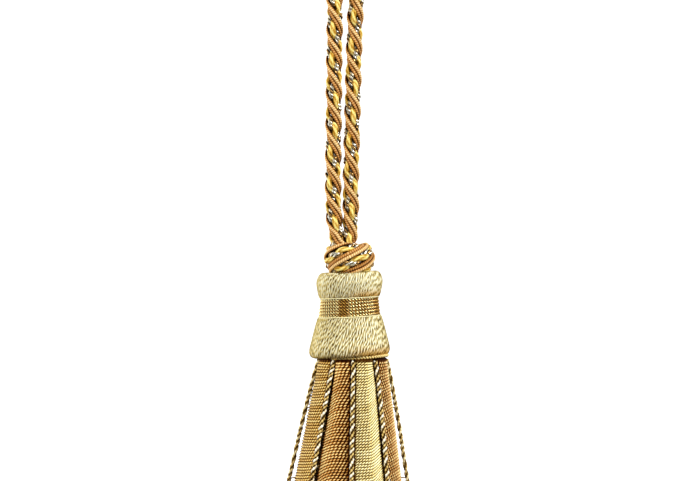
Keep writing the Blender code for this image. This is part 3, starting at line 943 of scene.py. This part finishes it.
def make_band():
    """Rows of twisted cord round the waist, and a pale yarn at each edge."""
    shape = Shape()
    row_height = (BAND_TOP - BAND_BOTTOM) / BAND_ROWS
    leads = round(TURN * (BAND_OUTER_TOP + BAND_OUTER_BOTTOM) / 2.0 / BAND_LEAD)
    for row in range(BAND_ROWS):
        share = (row + 0.5) / BAND_ROWS
        outer = BAND_OUTER_TOP + (BAND_OUTER_BOTTOM - BAND_OUTER_TOP) * share
        circle = outer - BAND_PLY_RADIUS - BAND_PLY_ORBIT
        add_twisted_ring(shape, circle, BAND_TOP - (row + 0.5) * row_height, BAND_PLY_RADIUS, BAND_PLY_ORBIT,
                         leads, BAND_ROW_TURN * row, BAND_SLOTS.index("gold"), BAND_ROW_NUMBER * row,
                         toned=True)
    angle = TURN * np.arange(BAND_EDGE_RINGS) / BAND_EDGE_RINGS
    for outer, height in ((BAND_OUTER_TOP, BAND_TOP), (BAND_OUTER_BOTTOM, BAND_BOTTOM)):
        line = round_points(angle, outer, height)
        add_tube(shape, tilted(line), round_points(angle, 1.0, 0.0), BAND_EDGE_RADIUS, TWISTED_SIDES,
                 BAND_SLOTS.index("champagne"), number=height, closed=True)
    band = shape.build("gold_band", [MATERIALS[name] for name in BAND_SLOTS])
    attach(band, "root")
    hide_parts("waist_band")


# Skirt

def skirt_share(height):
    return (SKIRT_TOP - height) / (SKIRT_TOP - SKIRT_LOW)


def skirt_radius(height):
    upper = SKIRT_RADIUS_TOP + (SKIRT_RADIUS_LOW - SKIRT_RADIUS_TOP) * skirt_share(height)
    below = (SKIRT_LOW - height) / (SKIRT_LOW - HEM)
    lower = SKIRT_RADIUS_LOW + (SKIRT_RADIUS_HEM - SKIRT_RADIUS_LOW) * below
    return np.where(height >= SKIRT_LOW, upper, lower)


def skirt_lean(height):
    return SKIRT_LEAN_TOP + (SKIRT_LEAN_LOW - SKIRT_LEAN_TOP) * np.minimum(skirt_share(height), 1.0)


def seam_angle(seam, height, cord=False):
    low = seam.cord_low_deg if cord else seam.low_deg
    return np.radians(seam.top_deg + (low - seam.top_deg) * np.minimum(skirt_share(height), 1.0))


def make_strip(index, left, right, look):
    """A strip between two seams, wound crosswise with twisted threads."""
    chance = np.random.default_rng(STRIP_SEED + index)
    rows = STRIP_THREADS * STRIP_ROWS_PER_THREAD + 1
    row = np.arange(rows)
    height = SKIRT_TOP + (HEM - SKIRT_TOP) * row / (rows - 1)
    share = (row % STRIP_ROWS_PER_THREAD) / STRIP_ROWS_PER_THREAD
    thread = row // STRIP_ROWS_PER_THREAD
    profile = np.sqrt(np.clip(1.0 - (2.0 * share - 1.0) ** 2, 0.0, 1.0))
    radius = skirt_radius(height)
    lean = skirt_lean(height)
    start = seam_angle(left, height) + left.gap / 2.0 / radius
    end = seam_angle(right, height) - right.gap / 2.0 / radius
    half = (end - start) * radius / 2.0
    moved = chance.uniform(-STRIP_SHIFT_UNEVEN, STRIP_SHIFT_UNEVEN, STRIP_THREADS + 1)
    shift = look.twist_shift * thread + moved[thread]
    wave = STRIP_WAVE * np.sin(STRIP_WAVE_RATE * thread + index)
    swell = chance.uniform(*STRIP_SWELL, STRIP_THREADS + 1)[thread]
    across_fine = np.linspace(-1.0, 1.0, STRIP_LEAN_POINTS)
    passed = ease((across_fine - look.turn[0]) / (look.turn[1] - look.turn[0]))
    left_rise, right_rise = np.tan(np.radians(look.rise_deg))
    rise_fine = np.cumsum(left_rise + (right_rise - left_rise) * passed) * (across_fine[1] - across_fine[0])
    rise_fine -= rise_fine[len(rise_fine) // 2]
    held = ease((SKIRT_TOP - height) / STRIP_LEAN_FROM) * ease((height - HEM) / STRIP_LEAN_FROM)
    held *= 1.0 + STRIP_LEAN_UNEVEN * np.sin(height / STRIP_LEAN_WAVE + index)

    def rise(across):
        """How far the threads stand above their middle, across the strip from -1 to 1."""
        return np.interp(across, across_fine, rise_fine) * half[:, None] * held[:, None]

    def angle_at(across):
        return start[:, None] + (end - start)[:, None] * (across + 1.0) / 2.0

    front = np.linspace(-1.0, 1.0, STRIP_COLUMNS + 1)[None, :]
    place = front * half[:, None]
    phase = place / (look.twist_mm * MM) + shift[:, None] + look.twist_lean * share[:, None]
    phase = phase + wave[:, None] * (0.5 - 0.5 * front)
    ply = np.abs(np.cos(math.pi * phase)) ** STRIP_MARK
    proud = profile[:, None] * swell[:, None] * (STRIP_RELIEF + STRIP_PLY_RELIEF * ply)
    outer = radius[:, None] - STRIP_CROWN * front ** 2 + proud - STRIP_RELIEF
    front_points = round_points(angle_at(front), outer, height[:, None] + rise(front), lean[:, None])
    ply_depth = np.interp(front, look.turn, look.ply_depth)
    rib_depth = np.interp(front, look.turn, look.rib_depth)
    # Painted shade in the marks between threads and between plies
    front_crest = (1.0 - rib_depth + rib_depth * profile[:, None]) * (1.0 - ply_depth + ply_depth * ply)
    front_crest = front_crest * swell[:, None]
    # Painted shade towards the strip's edges, and painted shadow from the head at its top
    front_crest *= 1.0 - STRIP_EDGE_SHADE * ease((np.abs(front) - STRIP_EDGE_FROM) / (1.0 - STRIP_EDGE_FROM))
    front_crest *= 1.0 - STRIP_TOP_SHADE * (1.0 - ease((SKIRT_TOP - height) / STRIP_TOP_DEEP))[:, None]

    back = np.linspace(1.0, -1.0, STRIP_BACK_COLUMNS + 1)[None, :]
    thick = STRIP_THICK - STRIP_EDGE_THINNER * back ** 2
    inner = radius[:, None] - STRIP_CROWN * back ** 2 - thick - profile[:, None] * STRIP_RELIEF / 2.0
    back_points = round_points(angle_at(back), inner, height[:, None] + rise(back), lean[:, None])
    # Painted shade on the strip's inner face
    back_crest = np.broadcast_to(profile[:, None] * STRIP_INNER_SHADE, back_points.shape[:2])

    edge_radius = radius - STRIP_CROWN - 0.5 * (STRIP_THICK - STRIP_EDGE_THINNER)
    bulge = (STRIP_EDGE_BULGE + profile * STRIP_EDGE_RELIEF) / radius
    edges = []
    for turn, across in ((end + bulge, 1.0), (start - bulge, -1.0)):
        level = height + rise(np.array([[across]]))[:, 0]
        edges.append(round_points(turn, edge_radius, level, lean)[:, None, :])
    # Painted shade on the strip's edges
    edge_crest = (profile * STRIP_INNER_SHADE)[:, None]

    points = np.concatenate([front_points, edges[0], back_points, edges[1]], axis=1)
    crest = np.concatenate([front_crest, edge_crest, back_crest, edge_crest], axis=1)
    across = np.concatenate([place, place[:, -1:], back * half[:, None], place[:, :1]], axis=1)
    number = STRIP_THREAD_NUMBER * thread[:, None] + STRIP_NUMBER * index
    lay = np.stack(np.broadcast_arrays(across / MM, share[:, None], number), axis=-1)
    shape = Shape()
    shape.add_grid(points, crest, lay, 0, flip=True, capped=True)
    strip = shape.build(f"silk_strip_{index + 1}", [MATERIALS[look.colour]])
    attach(strip, "root")
    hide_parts(f"strip_{index + 1}_{look.colour}")


def cord_line(seam):
    """A cord's middle line: along its seam, standing out from the strips in a smooth bow."""
    z_table = np.array([row.z_mm for row in CORD_BOW]) * MM
    out_table = np.array([row.stand_out_mm for row in CORD_BOW]) * MM
    count = round((z_table[0] - HEM) / CORD_STEP)
    height = np.linspace(z_table[0], HEM, count)
    bow = np.interp(-height, -z_table, out_table)
    kernel = np.ones(CORD_BOW_SMOOTH) / CORD_BOW_SMOOTH
    bow = np.convolve(np.pad(bow, CORD_BOW_SMOOTH // 2, mode="edge"), kernel, mode="valid")
    radius = skirt_radius(height) + bow
    return round_points(seam_angle(seam, height, True), radius, height, skirt_lean(height))


def add_stitches(shape, seam, line, levels):
    """Threads that hold a cord to the strips on both sides of its gap."""
    for level in levels:
        from_point = line[np.argmin(np.abs(line[:, 2] - level))]
        hold = float(skirt_radius(level))
        for way in (-1, 1):
            turn = seam_angle(seam, level) + way * (seam.gap / 2.0 + STITCH_PAST_EDGE) / hold
            to_point = round_points(turn, hold - STITCH_SUNK, level + STITCH_RISE, skirt_lean(level))
            share = np.linspace(0.0, 1.0, STITCH_POINTS)[:, None]
            thread = from_point * (1.0 - share) + to_point * share
            upward = np.tile([0.0, 0.0, 1.0], (STITCH_POINTS, 1))
            add_tube(shape, thread, upward, STITCH_RADIUS, STITCH_SIDES, CORD_COLOURS.index("cord_olive"),
                     shade=STITCH_TONE)


def make_skirt_cords():
    """The cords over the gaps, their stitches, the heading that holds them and the row below the rim."""
    shape = Shape()
    chance = np.random.default_rng(CORD_SEED)
    for number, seam in enumerate(SEAMS):
        line = cord_line(seam)
        out = round_points(seam_angle(seam, line[:, 2]), 1.0, 0.0)
        along = unit(np.gradient(line, axis=0))
        out = unit(out - along * (out * along).sum(axis=1, keepdims=True))
        side = np.cross(along, out)
        far = lengths_along(line)
        # The side cords take the colours painted as the cord looks in shade
        cord = OUTER_CORD if seam.name in ("left", "right") else FRONT_CORD
        slow = TURN * far / (cord.lead * CORD_UNEVEN_LEADS)
        uneven = CORD_UNEVEN * np.sin(slow + chance.uniform(0.0, TURN))
        spin = TURN * far / cord.lead + chance.uniform(0.0, TURN) + uneven
        plies = ((0.0, cord.first_colour, cord.first_radius),
                 (math.pi, cord.second_colour, cord.second_radius))
        for ply, colour, radius in plies:
            slot = CORD_COLOURS.index(colour)
            lift = out * np.cos(spin + ply)[:, None] + side * np.sin(spin + ply)[:, None]
            # Painted shade in the grooves between the wraps
            wraps = TURN * (far / CORD_WRAP)[:, None] + TURN * np.arange(CORD_SIDES) / CORD_SIDES
            ridge = np.cos(wraps)
            add_tube(shape, line + lift * cord.orbit, lift, radius * (1.0 + CORD_RELIEF * ridge), CORD_SIDES,
                     slot, number=CORD_NUMBER * number + slot, shade=CORD_TONE + CORD_TONE_RIDGE * ridge)
        add_stitches(shape, seam, line, STITCH_LEVELS[number % len(STITCH_LEVELS)])
    honey = CORD_COLOURS.index("honey")
    angle = TURN * np.arange(HEADING_RINGS) / HEADING_RINGS
    # The heading yarn is painted in shade under the head
    heading = round_points(angle, HEADING_RADIUS, SKIRT_TOP - HEADING_YARN)
    add_tube(shape, heading, round_points(angle, 1.0, 0.0), HEADING_YARN, HEADING_SIDES, honey, closed=True,
             shade=HEADING_PAINTED_SHADE)
    leads = round(TURN * RIM_ROW_RADIUS / RIM_ROW_LEAD)
    add_twisted_ring(shape, RIM_ROW_RADIUS, SKIRT_TOP + RIM_ROW_RISE, RIM_ROW_PLY, RIM_ROW_ORBIT, leads, 0.0,
                     honey, RIM_ROW_NUMBER, lean=RIM_ROW_LEAN)
    cords = shape.build("skirt_cord_set", [MATERIALS[name] for name in CORD_COLOURS])
    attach(cords, "root")
    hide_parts("skirt_cords")


# Studio

def make_stage():
    """A round sweep whose floor curves up into its wall, white from every side."""
    white, tree, shader = new_material("studio_white")
    shader.inputs["Base Color"].default_value = (STAGE_WHITE, STAGE_WHITE, STAGE_WHITE, 1.0)
    shader.inputs["Roughness"].default_value = 0.9
    shader.inputs["Emission Color"].default_value = WHITE
    shader.inputs["Emission Strength"].default_value = STAGE_GLOW
    floor = HEM - STAGE_BELOW_HEM
    flat = STAGE_WALL - STAGE_CURVE
    profile = [(STAGE_INNER, floor), (flat, floor)]
    for step in range(1, STAGE_CURVE_STEPS + 1):
        angle = step / STAGE_CURVE_STEPS * math.pi / 2.0
        profile.append((flat + STAGE_CURVE * math.sin(angle),
                        floor + STAGE_CURVE - STAGE_CURVE * math.cos(angle)))
    profile.append((STAGE_WALL, STAGE_TOP))
    turns = [TURN * side / STAGE_SIDES for side in range(STAGE_SIDES)]
    points = [(far * math.sin(turn), far * math.cos(turn), z) for turn in turns for far, z in profile]
    count = len(profile)
    faces = [tuple(range(0, count * STAGE_SIDES, count))]
    for side in range(STAGE_SIDES):
        here = side * count
        after = (side + 1) % STAGE_SIDES * count
        faces += [(here + step, here + step + 1, after + step + 1, after + step) for step in range(count - 1)]
    mesh = bpy.data.meshes.new("studio_sweep")
    mesh.from_pydata(points, [], faces)
    mesh.materials.append(white)
    mesh.shade_smooth()
    sweep = bpy.data.objects.new("studio_sweep", mesh)
    bpy.context.scene.collection.objects.link(sweep)
    sweep.visible_diffuse = False
    sweep.visible_glossy = False
    sweep.visible_shadow = False


def add_softbox(softbox, target):
    """A square light at an azimuth from the front towards +X, facing the target."""
    turn = math.radians(softbox.azimuth_deg)
    lift = math.radians(softbox.elevation_deg)
    light = bpy.data.lights.new(softbox.name, "AREA")
    light.shape = "SQUARE"
    light.size = softbox.size
    light.energy = softbox.power
    light.color = softbox.colour
    item = bpy.data.objects.new(softbox.name, light)
    item.location = target + Vector((math.sin(turn) * math.cos(lift), -math.cos(turn) * math.cos(lift),
                                     math.sin(lift))) * LIGHT_DISTANCE
    item.rotation_mode = "QUATERNION"
    item.rotation_quaternion = (target - item.location).to_track_quat("-Z", "Y")
    item.visible_glossy = softbox.glossy
    bpy.context.scene.collection.objects.link(item)


def make_lights():
    world = bpy.data.worlds.new("studio")
    world.use_nodes = True
    background = world.node_tree.nodes["Background"]
    background.inputs["Color"].default_value = WHITE
    background.inputs["Strength"].default_value = WORLD_GLOW
    bpy.context.scene.world = world
    for softbox in SOFTBOXES:
        add_softbox(softbox, Vector(LIGHT_TARGET))


def make_camera():
    data = bpy.data.cameras.new("camera")
    data.sensor_width = 36.0
    data.lens = data.sensor_width * CAMERA_DISTANCE / (FRAME_WIDE * PIXEL)
    data.clip_start = 0.01
    data.clip_end = 20.0
    camera = bpy.data.objects.new("camera", data)
    across = (FRAME_WIDE / 2.0 - AXIS_X) * PIXEL
    up = KNOT_TOP - (FRAME_TALL / 2.0 - KNOT_TOP_Y) * PIXEL
    camera.location = (across, -CAMERA_DISTANCE, up)
    camera.rotation_euler = (math.pi / 2.0, 0.0, 0.0)
    bpy.context.scene.collection.objects.link(camera)
    bpy.context.scene.camera = camera
    bpy.context.scene.view_settings.view_transform = "Standard"


make_camera()
make_rope()
make_knot()
make_head()
make_band()
for number, seam in enumerate(SEAMS):
    following = SEAMS[(number + 1) % len(SEAMS)]
    if number == len(SEAMS) - 1:
        following = following._replace(top_deg=following.top_deg + 360.0, low_deg=following.low_deg + 360.0)
    make_strip(number, seam, following, STRIP_LOOKS[number])
make_skirt_cords()
make_stage()
make_lights()
